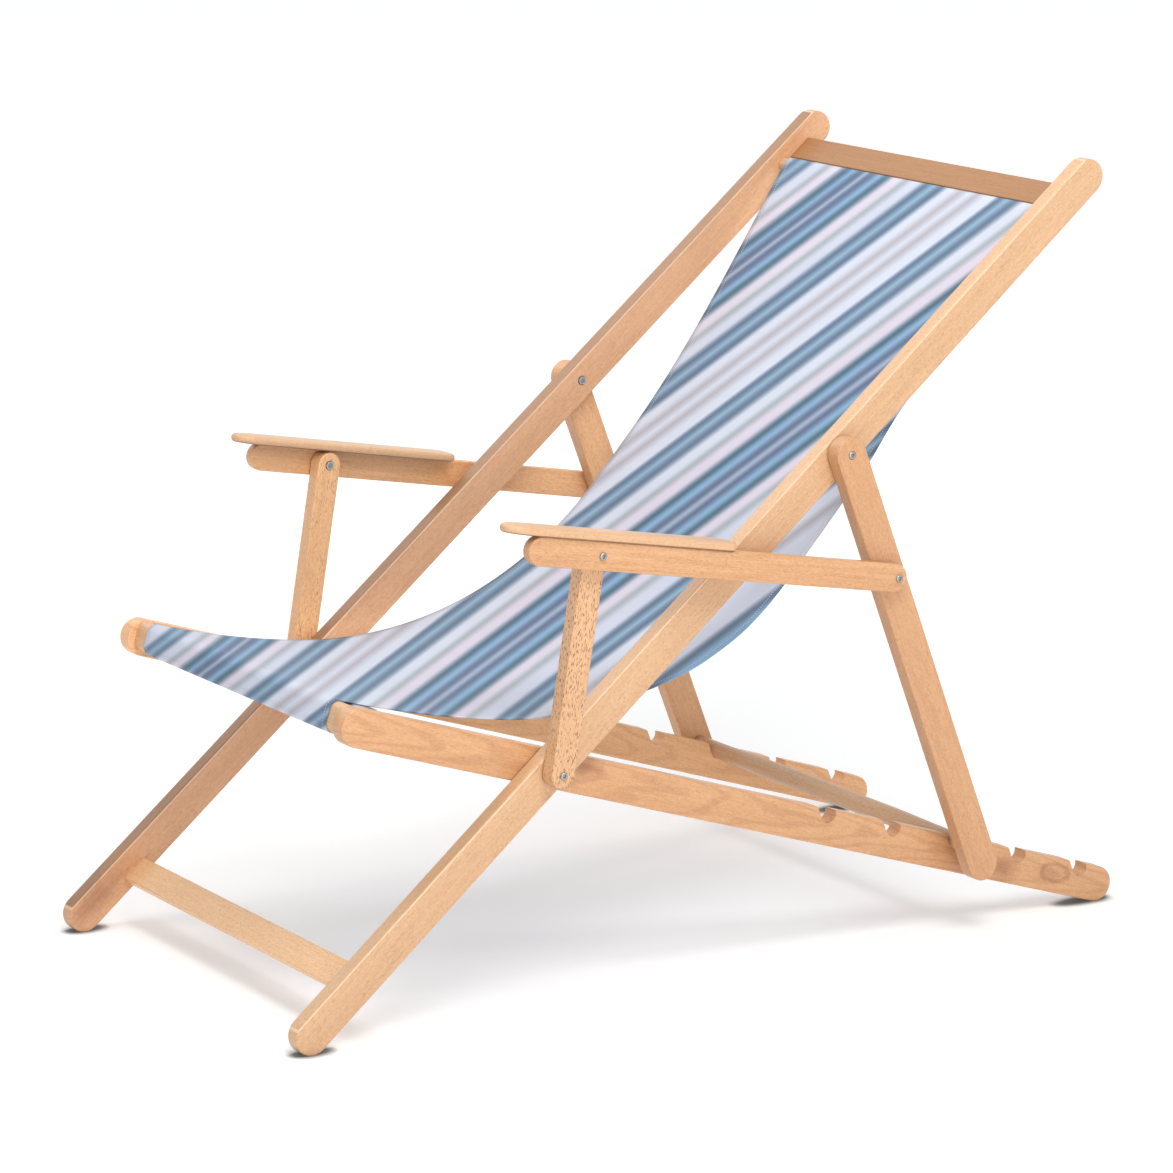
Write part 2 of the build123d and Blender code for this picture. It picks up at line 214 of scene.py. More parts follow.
# Beech: each figure's size in metres, across the chair and then along and up the board, and the detail and
# roughness of its noise
beechFigures = {
    "broad": ((0.05, 0.45, 0.035), 3.0, 0.55),
    "streak": ((0.0045, 0.16, 0.0045), 3.0, 0.55),
    "fibre": ((0.0012, 0.032, 0.0012), 4.0, 0.6),
    "fleck": ((0.0012, 0.0050, 0.0012), 1.0, 0.4),
    "pore": ((0.0006, 0.0085, 0.0006), 2.0, 0.5),
    "mottle": ((0.0016, 0.0034, 0.0016), 2.0, 0.6),
    "patch": ((0.03, 0.09, 0.02), 2.0, 0.5),
    "wander": ((0.06, 0.16, 0.03), 2.0, 0.5),
    "ragged": ((0.012, 0.012, 0.012), 2.0, 0.5),
}
# Tones in linear colour; an edge is where in the noise a figure starts and where it is full
beechLook = {
    "light": (0.700, 0.432, 0.242),
    "deep": (0.535, 0.295, 0.145),
    "fleckTone": (0.300, 0.135, 0.060),
    "broadEdge": (0.3, 0.75),
    "broadShare": 0.30,
    "streakEdge": (0.3, 0.7),
    "fibreEdge": (0.3, 0.7),
    "fibreShare": 0.30,
    "mottleShare": 1.3,
    "fleckEdge": (0.56, 0.66),
    "patchEdge": (0.35, 0.7),
    "patchLeast": 0.45,
    "poreEdge": (0.58, 0.70),
    "poreShare": 0.26,
    "fibreHigh": 0.6,
    "fleckDeep": 0.5,
    "poreDeep": 0.6,
    "relief": (0.00025, 0.5),
    "roughness": 0.38,
    "fibreRoughness": 0.16,
    "coatRoughness": 0.2,
}
ringLook = {
    "bend": 0.00034,
    "pitch": 0.095,
    "wander": 3.2,
    "edge": (0.1, 1.0),
    "share": 0.6,
    "tone": (0.66, 0.52, 0.44),
}
# Painted light on the back rails: a painted highlight along the eased edge and painted shade on the narrow
# face above it; their places are metres down from that narrow face
paintedEdgeShadingLook = {
    "paleFrom": (0.0022, 0.0014),
    "paleTo": (0.0006, 0.0002),
    "paleShare": 0.7,
    "paleTone": (0.90, 0.66, 0.44),
    "narrowFrom": (0.0005, 0.0001),
    "narrowTone": (0.20, 0.17, 0.14),
}
# A brown mark's distances are shares of its half length and half height
brownMarkLook = {
    "ragged": 0.5,
    "edge": (0.35, 1.35),
    "share": 0.8,
    "coreShare": 0.3,
    "ringAt": 1.1,
    "ringEdge": (0.05, 0.3),
    "ringShare": 0.5,
    "tone": (0.56, 0.45, 0.40),
}
jointShadeLook = {"edge": (0.0009, 0.0019), "share": 0.75, "tone": (0.150, 0.070, 0.032)}


def tint(colour, tone):
    return tuple(c * share for c, share in zip(colour, tone))


class Board(Shader):
    # a board's material, whose coordinates start at origin and run along its slope
    def __init__(self, name, origin, slope, across):
        super().__init__(bpy.data.materials.new(name))
        self.origin = (0.0, *origin)
        self.turn = (0, 0, radians(-quarterTurn)) if across else (radians(slope), 0, 0)

    def figure(self, name):
        size, detail, roughness = beechFigures[name]
        return self.noise(self.place(self.origin, self.turn, size), 1.0, detail, roughness)

    def length(self):
        return self.part(self.place(self.origin, self.turn), 1)

    def height(self):
        return self.part(self.place(self.origin, self.turn), 2)

    def sawnRings(self, colour, strength):
        # rings cut by the saw: nested arches down the middle of the board
        look = ringLook
        height = self.height()
        arches = (height * height) / look["bend"] + self.length() / look["pitch"]
        arches = arches + self.figure("wander") * look["wander"]
        rings = (arches * (2 * pi)).sine().above(*look["edge"])
        return self.mix(rings * strength * look["share"], colour, look["tone"], "MULTIPLY")

    def brownMark(self, colour, length, rise, halfLong, halfHigh, ringed):
        # a brown smudge, standing for heartwood and, on the near base rail, for a painted shadow; or the
        # ring round a small knot
        look = brownMarkLook
        long = (self.length() - length) / halfLong
        high = (self.height() - rise) / halfHigh
        out = (long ** 2 + high ** 2) ** 0.5 + self.figure("ragged") * look["ragged"]
        mark = look["share"] - out.above(*look["edge"]) * look["share"]
        if ringed:
            ring = 1 - (out - look["ringAt"]).size().above(*look["ringEdge"])
            mark = mark * look["coreShare"] + ring * look["ringShare"]
        return self.mix(mark, colour, look["tone"], "MULTIPLY")

    def jointShadeLine(self, colour, joint):
        # painted shade: a dark line along the joint, standing for the shade where the pad sits on the bar
        look = jointShadeLook
        near = (self.height() - joint).size()
        return self.mix(look["share"] - near.above(*look["edge"]) * look["share"], colour, look["tone"])


def beech(
    name, origin, slope=0, across=False, fleck=0.35, figure=0.0, warm=0.0, tone=(1, 1, 1), streaky=0.2,
    paintedEdgeShading=None, joint=None, marksAndShadows=(), coat=0.3,
):
    # painted edge light and shade: height of the upper narrow face over the middle line, and the share of
    # painted shade that darkens that face
    look = beechLook
    board = Board(name, origin, slope, across)
    fibre = board.figure("fibre")
    share = board.figure("broad").above(*look["broadEdge"]) * look["broadShare"]
    share = share + board.figure("streak").above(*look["streakEdge"]) * streaky
    share = share + fibre.above(*look["fibreEdge"]) * look["fibreShare"] + warm
    share = share + (board.figure("mottle") - 0.5) * look["mottleShare"]
    colour = board.mix(share, tint(look["light"], tone), tint(look["deep"], tone))
    if figure:
        colour = board.sawnRings(colour, figure)
    if paintedEdgeShading:
        # painted highlight: the eased edge is painted pale; painted shade: the narrow face above it is
        # darkened and its coat is taken away in step
        top, darker = paintedEdgeShading
        edge = paintedEdgeShadingLook
        height = board.height()
        pale = height.above(*(top - depth for depth in edge["paleFrom"]))
        pale = pale - height.above(*(top - depth for depth in edge["paleTo"]))
        narrow = height.above(*(top - depth for depth in edge["narrowFrom"])) * darker
        colour = board.mix(pale * edge["paleShare"], colour, edge["paleTone"])
        colour = board.mix(narrow, colour, edge["narrowTone"], "MULTIPLY")
        coat = (1 - narrow) * coat
    # brown marks, one of them a painted shadow
    for brownMark in marksAndShadows:
        colour = board.brownMark(colour, *brownMark)
    # painted shade along the joint under the pad
    if joint:
        colour = board.jointShadeLine(colour, joint)
    least = look["patchLeast"]
    patches = board.figure("patch").above(*look["patchEdge"]) * (1 - least) + least
    flecks = board.figure("fleck").above(*look["fleckEdge"]) * patches
    pores = board.figure("pore").above(*look["poreEdge"])
    colour = board.mix(flecks * fleck, colour, look["fleckTone"])
    colour = board.mix(pores * look["poreShare"], colour, look["fleckTone"])
    height = fibre * look["fibreHigh"] - flecks * look["fleckDeep"] - pores * look["poreDeep"]
    normal = board.bump(height, *look["relief"])
    rough = fibre * look["fibreRoughness"] + look["roughness"]
    return board.finish(
        Base_Color=colour, Roughness=rough, Normal=normal,
        Coat_Weight=coat, Coat_Roughness=look["coatRoughness"],
    )


def dress(names, material):
    for name in names:
        mesh = nodes[name].data
        mesh.materials.clear()
        mesh.materials.append(material)


# Brown marks: how far along the board and how high, half their length and height, and whether it is a ring.
# On the near base rail the first is a painted shadow behind the arm post's lower end
heartwoodAndShadow = [
    (0.052, 0.011, 0.036, 0.014, False),
    (0.668, -0.003, 0.030, 0.021, False),
    (0.749, 0.003, 0.024, 0.012, True),
]
# the far back rail's foot is made browner
footDarkening = [(0.02, 0.006, 0.065, 0.026, False)]
backEdge = 0.0199
padJoint = 0.016

# No two boards are alike: name, nodes, then where its grain runs from, its slope and its looks. The far
# boards' tones are lighter than the near ones' as painted light, making up for the light the chair keeps off
# them
boards = [
    ("NearBackRail", ["back_rail_left"], "foot", "backSlope",
     {"fleck": 0.28, "paintedEdgeShading": (backEdge, 0.0)}),
    ("FarBackRail", ["back_rail_right"], "foot", "backSlope",
     {"fleck": 0.2, "tone": (1.10, 1.00, 0.98), "paintedEdgeShading": (backEdge, 0.62), "marksAndShadows": footDarkening}),
    ("NearBaseRail", ["base_rail_left"], "mainPivot", "baseSlope",
     {"fleck": 0.18, "figure": 0.5, "warm": 0.1, "tone": (1.0, 0.90, 0.80), "marksAndShadows": heartwoodAndShadow}),
    ("FarBaseRail", ["base_rail_right"], "mainPivot", "baseSlope",
     {"fleck": 0.18, "figure": 0.4, "tone": (1.28, 1.16, 1.01)}),
    ("NearLeg", ["prop_leg_left"], "propPivot", "legSlope",
     {"fleck": 0.30, "figure": 0.15, "tone": (0.94, 0.83, 0.74)}),
    ("FarLeg", ["prop_leg_right"], "propPivot", "legSlope",
     {"fleck": 0.30, "figure": 0.15, "tone": (1.06, 0.95, 0.83)}),
    ("NearPost", ["arm_post_left"], "mainPivot", "postSlope",
     {"fleck": 1.5, "tone": (1.06, 1.03, 0.98)}),
    ("FarPost", ["arm_post_right"], "mainPivot", "postSlope",
     {"fleck": 0.6, "tone": (1.27, 1.19, 1.05)}),
    ("NearArm", ["arm_bar_left"], "armFront", "armSlope",
     {"fleck": 0.30, "figure": 0.12, "tone": (1.0, 0.90, 0.80), "streaky": 0.45}),
    ("FarArm", ["arm_bar_right"], "armFront", "armSlope",
     {"fleck": 0.30, "figure": 0.12, "tone": (1.14, 1.05, 0.93), "streaky": 0.4}),
    ("Pads", ["arm_pad_left", "arm_pad_right"], "armFront", "armSlope",
     {"fleck": 0.22, "joint": padJoint}),
]
# What runs across the chair: name, nodes, where its grain runs from, and its looks
crossPieces = [
    ("CrossPieces", ["canvas_rod", "front_rail", "pad_dowels_left", "pad_dowels_right"], "crossbar",
     {"fleck": 0.22}),
    # painted shade: the top slat's tone is made darker and warmer
    ("TopSlat", ["top_slat"], "crossbar",
     {"fleck": 0.3, "warm": 0.3, "tone": (0.64, 0.52, 0.38), "coat": 0.05}),
    # painted light: the stretcher's tone is made lighter
    ("Stretcher", ["foot_stretcher"], "foot",
     {"fleck": 0.2, "tone": (1.32, 1.31, 1.24)}),
]
for name, names, origin, slope, looks in boards:
    dress(names, beech("beech" + name, chair[origin], chair[slope], **looks))
for name, names, origin, looks in crossPieces:
    dress(names, beech("beech" + name, chair[origin], across=True, **looks))
print("wood dressed")

# Zinc and nylon: a fine mottle in tone and gloss, whose spots are given in metres
zincLook = {
    "spot": 0.0012,
    "noise": (1.0, 3.0, 0.6),
    "edge": (0.35, 0.7),
    "dark": 0.72,
    "relief": (0.00006, 0.4),
    "spotRoughness": 0.2,
}
nylonLook = {
    "spot": 0.002,
    "noise": (1.0, 2.0, 0.5),
    "light": (0.78, 0.76, 0.70),
    "deep": (0.66, 0.63, 0.56),
    "roughness": 0.5,
    "spotRoughness": 0.1,
}


def zincSteel(name, tone, roughness):
    look = zincLook
    shader = Shader(bpy.data.materials.new(name))
    spots = shader.noise(shader.place(size=(look["spot"],) * 3), *look["noise"])
    colour = shader.mix(spots.above(*look["edge"]), tone, tuple(c * look["dark"] for c in tone))
    normal = shader.bump(spots, *look["relief"])
    rough = spots * look["spotRoughness"] + roughness
    return shader.finish(Base_Color=colour, Metallic=1.0, Roughness=rough, Normal=normal)


def whiteNylon(name):
    look = nylonLook
    shader = Shader(bpy.data.materials.new(name))
    spots = shader.noise(shader.place(size=(look["spot"],) * 3), *look["noise"])
    colour = shader.mix(spots, look["light"], look["deep"])
    return shader.finish(Base_Color=colour, Roughness=spots * look["spotRoughness"] + look["roughness"])


zinc = zincSteel("zincSteel", (0.66, 0.66, 0.64), 0.3)
boltZinc = zincSteel("zincBolts", (0.42, 0.40, 0.37), 0.32)
nylon = whiteNylon("nylonWasher")
for name in nodes:
    if "bolt" in name or "nut" in name or "stud" in name:
        dress([name], zinc)
    elif "washer" in name:
        dress([name], nylon)
print("fittings dressed")


def points(made):
    return [item for item in made if isinstance(item, bmesh.types.BMVert)]


def lines(made):
    return [item for item in made if isinstance(item, bmesh.types.BMEdge)]


def turnOnLathe(mesh, profile, centre, sides):
    # spins a profile of (x, radius) points about the line through centre
    row = [mesh.verts.new((x, centre[0], centre[1] + radius)) for x, radius in profile]
    edges = [mesh.edges.new(pair) for pair in zip(row, row[1:])]
    bmesh.ops.spin(
        mesh, geom=row + edges, cent=(0, *centre), axis=(1, 0, 0), dvec=(0, 0, 0),
        angle=2 * pi, steps=sides, use_merge=True,
    )


def closeEnds(mesh):
    bmesh.ops.holes_fill(mesh, edges=[e for e in mesh.edges if e.is_boundary], sides=0)
    bmesh.ops.recalc_face_normals(mesh, faces=mesh.faces)
    for face in mesh.faces:
        face.smooth = len(face.verts) == 4


def keepMesh(name, mesh, material):
    data = bpy.data.meshes.new(name)
    mesh.to_mesh(data)
    mesh.free()
    data.materials.append(material)
    piece = bpy.data.objects.new(name, data)
    bpy.context.scene.collection.objects.link(piece)
    return piece


# Crossbar: a turned dowel between the prop legs, fuller where it crosses the gap and slimmer in the notches
dowelLook = {
    "radius": 0.0100,
    "belly": 0.0114,
    "half": 0.2755,
    "shoulder": 0.225,
    "taper": 0.10,
    "rings": 48,
    "sides": 64,
    "wood": {"fleck": 0.2, "warm": 0.15},
}


def makeCrossbar():
    look = dowelLook
    mesh = bmesh.new()
    profile = []
    for ring in range(look["rings"] + 1):
        x = look["half"] - ring * 2 * look["half"] / look["rings"]
        swell = smooth((look["shoulder"] - abs(x)) / look["taper"])
        profile.append((x, look["radius"] + (look["belly"] - look["radius"]) * swell))
    turnOnLathe(mesh, profile, chair["crossbar"], look["sides"])
    closeEnds(mesh)
    wood = beech("beechCrossbar", chair["crossbar"], across=True, **look["wood"])
    piece = keepMesh("crossbarDowel", mesh, wood)
    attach(piece, "prop_frame")
    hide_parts("prop_crossbar")


makeCrossbar()
print("crossbar made")

# Bolts: turned shanks with low domed heads and a hexagon socket, in place of the plain CAD ones
boltLook = {
    "shank": 0.003,
    "chamfer": 0.0005,
    "head": 0.0045,
    "headHigh": 0.0026,
    "headEase": 0.0003,
    "dome": [(0.0012, 1.0), (0.0006, 0.93), (0.0002, 0.78)],
    "socket": 0.0023,
    "socketLip": 0.0004,
    "lipDrop": 0.0001,
    "mouthDrop": 0.0003,
    "socketDeep": 0.0019,
    "sides": 48,
    "crease": 32,
}
# Node, body, sides of the chair, inner end and top of the head from the middle plane, and where it stands
bolts = [
    ("main_pivot_bolts", "back_frame", (1, -1), 0.2283, 0.2982, "mainPivot"),
    ("prop_pivot_bolts", "back_frame", (1, -1), 0.2538, 0.2967, "propPivot"),
    ("arm_front_bolt_left", "arm_left", (1,), 0.2743, 0.3126, "armFront"),
    ("arm_front_bolt_right", "arm_right", (-1,), 0.2743, 0.3126, "armFront"),
    ("arm_rear_bolt_left", "arm_left", (1,), 0.2970, 0.3126, "armRear"),
    ("arm_rear_bolt_right", "arm_right", (-1,), 0.2970, 0.3126, "armRear"),
]


def addBolt(mesh, side, inner, outer, place):
    # one bolt from its inner end to the top of its head, on the side given
    look = boltLook
    under = outer - look["headHigh"]
    profile = [
        (inner, 0.0),
        (inner, look["shank"] - look["chamfer"]),
        (inner + look["chamfer"], look["shank"]),
        (under, look["shank"]),
        (under, look["head"] - look["headEase"]),
        (under + look["headEase"], look["head"]),
    ]
    profile += [(outer - drop, look["head"] * share) for drop, share in look["dome"]]
    profile += [(outer, look["socket"] + look["socketLip"]), (outer - look["lipDrop"], look["socket"])]
    turnOnLathe(mesh, [(side * reach, radius) for reach, radius in profile], place, look["sides"])
    mouth = outer - look["mouthDrop"]
    rim = []
    for edge in mesh.edges:
        spot = edge.verts[0].co
        near = (spot.yz - Vector(place)).length < look["head"]
        if edge.is_boundary and near and spot.x * side > mouth:
            rim.append(edge)
    # the round mouth narrows to a hexagon, which goes straight down to a floor
    walls = bmesh.ops.extrude_edge_only(mesh, edges=rim)["geom"]
    for vert in points(walls):
        turn = atan2(vert.co.z - place[1], vert.co.y - place[0])
        radius = look["socket"] * cos(pi / 6) / cos((turn % (pi / 3)) - pi / 6)
        vert.co = (side * mouth, place[0] + radius * cos(turn), place[1] + radius * sin(turn))
    floor = bmesh.ops.extrude_edge_only(mesh, edges=lines(walls))["geom"]
    bmesh.ops.translate(mesh, verts=points(floor), vec=(-side * look["socketDeep"], 0, 0))


def makeBolts(node, body, sides, inner, outer, place):
    mesh = bmesh.new()
    for side in sides:
        addBolt(mesh, side, inner, outer, place)
    bmesh.ops.remove_doubles(mesh, verts=mesh.verts, dist=tiny)
    closeEnds(mesh)
    for edge in mesh.edges:
        edge.smooth = len(edge.link_faces) == 2 and edge.calc_face_angle() < radians(boltLook["crease"])
    piece = keepMesh(node + "_turned", mesh, boltZinc)
    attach(piece, body)
    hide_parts(node)


for node, body, sides, inner, outer, place in bolts:
    makeBolts(node, body, sides, inner, outer, chair[place])
print("bolts made")

# Canvas: its path in the side view is that of the CAD solid, in metres and degrees
canvasLook = {
    "halfTop": 0.241,
    "halfWaist": 0.2225,
    "halfFront": 0.229,
    "halfLoop": 0.207,
    "thick": 0.0012,
    "rod": (0.427210, 0.826076),
    "rodLoop": 0.0089,
    "slope": 56.9,
    "hip": (0.128302, 0.460524),
    "knee": (-0.270898, 0.319624),
    "front": (-0.465483, 0.363493),
    "barTop": (-0.468487, 0.353015),
    "barTurn": 88.25,
    "barFace": 0.014,
    "barUnder": (-0.472754, 0.339681),
    "barBack": 0.0152,
    "barSeam": 0.008,
    "barSeamTurn": 91,
    "rodTurn": 220,
    "rodBack": 0.0188,
    "rodSeam": 0.010,
    "tail": 0.028,
    "acrossCuts": 47,
}
# Rows of faces in each stretch of the path, down to the front rail and round the rod
frontSteps = {"back": 32, "seat": 32, "lip": 16, "top": 14, "face": 2, "under": 20, "seam": 10, "tail": 4}
rodSteps = {"round": 30, "back": 3, "seam": 6, "tail": 4}
# How the cloth hangs, by y: where it begins to widen for the top and to narrow for the loop, and over what
# length; then how far each of the others goes, where it begins and ends, each with the length it takes
hangLook = {
    "top": (0.20, 0.22),
    "loop": (-0.16, 0.30),
    "nearDroop": (0.013, -0.14, 0.12, 0.14, 0.12),
    "nearTuck": (0.009, 0.20, 0.06, 0.40, 0.08),
    "sag": (0.005, -0.44, 0.2, 0.40, 0.4),
}


def pathStep(mesh, edges, run=None, centre=None, turn=None, steps=1):
    # carries a row of edges on by a straight run, or round a centre, and gives the new row
    if run is not None:
        part = Vector((0, run[0] / steps, run[1] / steps))
        for _ in range(steps):
            made = bmesh.ops.extrude_edge_only(mesh, edges=edges)["geom"]
            bmesh.ops.translate(mesh, verts=points(made), vec=part)
            edges = [e for e in lines(made) if abs(e.verts[0].co.x - e.verts[1].co.x) > tiny]
        return edges
    row = list(dict.fromkeys(v for e in edges for v in e.verts)) + edges
    made = bmesh.ops.spin(
        mesh, geom=row, cent=(0, *centre), axis=(1, 0, 0), dvec=(0, 0, 0),
        angle=radians(turn), steps=steps,
    )
    return lines(made["geom_last"])


def rowPoint(edges):
    return (edges[0].verts[0].co.y, edges[0].verts[0].co.z)


def sweepTo(mesh, edges, slope, end, steps):
    # one arc from the row, which heads along slope, to end; gives the new row and its heading
    start = rowPoint(edges)
    chord = degrees(atan2(end[1] - start[1], end[0] - start[0]))
    lean = (chord - slope + halfTurn) % (2 * halfTurn) - halfTurn
    radius = hypot(end[0] - start[0], end[1] - start[1]) / (2 * sin(radians(lean)))
    centre = along(start, slope + quarterTurn, radius)
    return pathStep(mesh, edges, centre=centre, turn=lean * 2, steps=steps), slope + lean * 2


def heading(slope, distance):
    return along((0, 0), slope, distance)


def layFront(mesh, row):
    # down the back, through the sag and round the front rail to the seam under it
    look, steps = canvasLook, frontSteps
    row, slope = sweepTo(mesh, row, look["slope"] + halfTurn, look["hip"], steps["back"])
    row, slope = sweepTo(mesh, row, slope, look["knee"], steps["seat"])
    row, slope = sweepTo(mesh, row, slope, look["front"], steps["lip"])
    row = pathStep(mesh, row, centre=look["barTop"], turn=look["barTurn"], steps=steps["top"])
    down = chair["baseSlope"] - quarterTurn
    row = pathStep(mesh, row, run=heading(down, look["barFace"]), steps=steps["face"])
    row = pathStep(mesh, row, centre=look["barUnder"], turn=halfTurn, steps=steps["under"])
    row = pathStep(mesh, row, run=heading(down + halfTurn, look["barBack"]), steps=steps["face"])
    centre = along(rowPoint(row), chair["baseSlope"], look["barSeam"])
    row = pathStep(mesh, row, centre=centre, turn=-look["barSeamTurn"], steps=steps["seam"])
    slope = chair["baseSlope"] + quarterTurn - look["barSeamTurn"]
    pathStep(mesh, row, run=heading(slope, look["tail"]), steps=steps["tail"])


def layTop(mesh, row):
    # over the rod and back under the sheet
    look, steps = canvasLook, rodSteps
    slope = look["slope"] - look["rodTurn"]
    row = pathStep(mesh, row, centre=look["rod"], turn=-look["rodTurn"], steps=steps["round"])
    row = pathStep(mesh, row, run=heading(slope, look["rodBack"]), steps=steps["back"])
    centre = along(rowPoint(row), slope + quarterTurn, look["rodSeam"])
    row = pathStep(mesh, row, centre=centre, turn=look["rodTurn"] - halfTurn, steps=steps["seam"])
    pathStep(mesh, row, run=heading(look["slope"] - halfTurn, look["tail"]), steps=steps["tail"])


def rowKey(vert):
    return (round(vert.co.y, 6), round(vert.co.z, 6))


def clothLengths(mesh):
    # length of cloth from one raw edge to each row, walked along the side of the sheet, and in all
    beside = {}
    for edge in mesh.edges:
        a, b = edge.verts
        if max(a.co.x, b.co.x) < -canvasLook["halfFront"] + 10 * tiny:
            beside.setdefault(a, []).append(b)
            beside.setdefault(b, []).append(a)
    here = next(v for v in beside if len(beside[v]) == 1)
    lengths = {}
    gone, before = 0.0, None
    while here:
        lengths[rowKey(here)] = gone
        after = [v for v in beside[here] if v is not before]
        if not after:
            break
        gone += (after[0].co - here.co).length
        before, here = here, after[0]
    return lengths, gone


def between(y, size, start, startOver, end, endOver):
    return size * smooth((y - start) / startOver) * smooth((end - y) / endOver)


def hang(vert):
    # pulled tight, the cloth draws in at the waist, and its middle hangs a little lower than the hems
    look, hung = canvasLook, hangLook
    across = vert.co.x / look["halfFront"]
    y = vert.co.y
    upper = smooth((y - hung["top"][0]) / hung["top"][1])
    lower = smooth((hung["loop"][0] - y) / hung["loop"][1])
    half = look["halfWaist"]
    half += (look["halfTop"] - look["halfWaist"]) * upper
    half += (look["halfLoop"] - look["halfWaist"]) * lower
    if across > 0:
        # the near hem hangs out at the seat and is tucked in above it
        half += across * (between(y, *hung["nearDroop"]) - between(y, *hung["nearTuck"]))
    vert.co.x = across * half
    vert.co.z -= (1 - across * across) * between(y, *hung["sag"])


# Stripes lie on the bias and keep their slant over the sag, so each is fixed to the cloth where it hangs at
# rest. Their places are counted in the photo's pixels, square to the slant, from the point named middle.
stripeLook = {
    "slant": 37.0,
    "middle": (760, 400),
    "first": 200.0,
    "span": 400.0,
    "waver": 0.0018,
}


def stripePlace(point):
    look, eye = stripeLook, cameraLook
    way = point - Vector(eye["place"])
    reach = eye["lens"] / eye["sensor"] * eye["photoSide"] / -way.dot(Vector(eye["back"]))
    side = eye["photoSide"] / 2 + reach * way.dot(Vector(eye["right"]))
    down = eye["photoSide"] / 2 - reach * way.dot(Vector(eye["up"]))
    slant = radians(look["slant"])
    middle = look["middle"]
    place = middle[1] + (down - middle[1]) * cos(slant) + (side - middle[0]) * sin(slant)
    return (place - look["first"]) / look["span"]


def makeCanvas():
    look = canvasLook
    mesh = bmesh.new()
    start = along(look["rod"], look["slope"] + quarterTurn, look["rodLoop"])
    mesh.edges.new([mesh.verts.new((side * look["halfFront"], *start)) for side in (-1, 1)])
    bmesh.ops.subdivide_edges(mesh, edges=mesh.edges[:], cuts=look["acrossCuts"])
    firstRow = mesh.edges[:]
    layFront(mesh, firstRow)
    layTop(mesh, firstRow)
    bmesh.ops.recalc_face_normals(mesh, faces=mesh.faces)
    stripes = mesh.loops.layers.uv.new("stripes")
    weave = mesh.loops.layers.uv.new("weave")
    lengths, gone = clothLengths(mesh)
    loops = [loop for face in mesh.faces for loop in face.loops]
    for loop in loops:
        loop[weave].uv = (loop.vert.co.x, lengths[rowKey(loop.vert)])
    for vert in mesh.verts:
        hang(vert)
    for loop in loops:
        loop[stripes].uv = (stripePlace(loop.vert.co), 0.5)
    for face in mesh.faces:
        face.smooth = True
    canvas = keepMesh("stripedCanvas", mesh, canvasCloth())
    thicken = canvas.modifiers.new("thickness", "SOLIDIFY")
    thicken.thickness = look["thick"]
    thicken.offset = 0
    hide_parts("canvas")
    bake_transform(canvas)
    print("canvas made", round(gone, 4), "m long")


clothTones = {
    "white": (0.612, 0.654, 0.757),
    "lavender": (0.574, 0.609, 0.721),
    "pink": (0.651, 0.605, 0.711),
    "greyGreen": (0.338, 0.380, 0.416),
    "mauve": (0.409, 0.393, 0.447),
    "navy": (0.097, 0.157, 0.243),
    "lightBlue": (0.265, 0.416, 0.564),
    "teal": (0.061, 0.130, 0.188),
    "steel": (0.220, 0.383, 0.570),
    "violet": (0.097, 0.143, 0.237),
    "paleLine": (0.377, 0.452, 0.596),
}
clothGamma = 2.2
rampStops = 28

# The weaver's order of bands, from the top of the back to the under side of the seat: a tone and where it
# lies, or where it starts and ends
bands = [
    ("lavender", 200, 226), ("navy", 230.5), ("lightBlue", 235.5), ("navy", 240.5),
    ("lavender", 245, 250), ("greyGreen", 254.5), ("pink", 259, 262.4), ("teal", 268, 269.4),
    ("steel", 273.6), ("violet", 278, 280.4), ("paleLine", 283.2), ("violet", 286.2, 288.5),
    ("steel", 292.6, 294), ("teal", 297.6, 299.2), ("pink", 304, 308.5), ("greyGreen", 313),
    ("lavender", 318, 323), ("navy", 327.6, 329.2), ("lightBlue", 334), ("navy", 338.8, 340.8),
    ("white", 344.8, 349), ("mauve", 355), ("white", 361.3), ("mauve", 367.3), ("white", 374, 379.8),
    ("navy", 383.2, 384.6), ("lightBlue", 389.3), ("navy", 394.6, 396.2), ("white", 401.4, 407),
    ("greyGreen", 411.8), ("pink", 417.3, 422.8), ("teal", 428, 429.6), ("steel", 433.8, 436),
    ("violet", 440.2, 442), ("paleLine", 446.1), ("violet", 450.4, 452), ("steel", 456.4, 458.6),
    ("teal", 462.8, 464.4), ("pink", 469.4, 474), ("greyGreen", 479), ("lavender", 485, 493.4),
    ("navy", 498, 499.6), ("lightBlue", 504.5), ("navy", 509, 511), ("white", 515.4, 522), ("mauve", 528),
    ("white", 535), ("lavender", 548, 558), ("navy", 563, 565), ("steel", 570, 577), ("navy", 582),
    ("white", 588),
]
# The cloth itself: lengths in metres, the scale, detail and roughness of each noise, and the depth and
# strength of each relief
clothLook = {
    "thread": 0.0012,
    "hem": 0.009,
    "hemEdge": 0.0006,
    "seamIn": 0.0018,
    "seamEdge": (0.0003, 0.0007),
    "stitch": 0.0034,
    "stitchEdge": (-0.35, 0.05),
    "stitchShare": 0.8,
    "slub": (420.0, 2.0, 0.5),
    "cloudy": (14.0, 3.0, 0.6),
    "threads": (1.0, 2.0, 0.6),
    "threadStretch": (900, 60, 1),
    "puckers": (1.0, 2.0, 0.45),
    "puckerStretch": (16, 3.2, 1),
    "shade": 0.97,
    "basketShade": 0.03,
    "cloudShade": 0.07,
    "threadShade": 0.07,
    "seamShade": 0.05,
    "threadHigh": 0.5,
    "stitchHigh": 0.5,
    "weaveRelief": (0.00022, 0.6),
    "hemRelief": (0.0006, 0.8),
    "puckerRelief": (0.006, 0.35),
    "roughness": 0.84,
    "slubRoughness": 0.12,
    "sheen": 0.12,
    "sheenRoughness": 0.5,
}


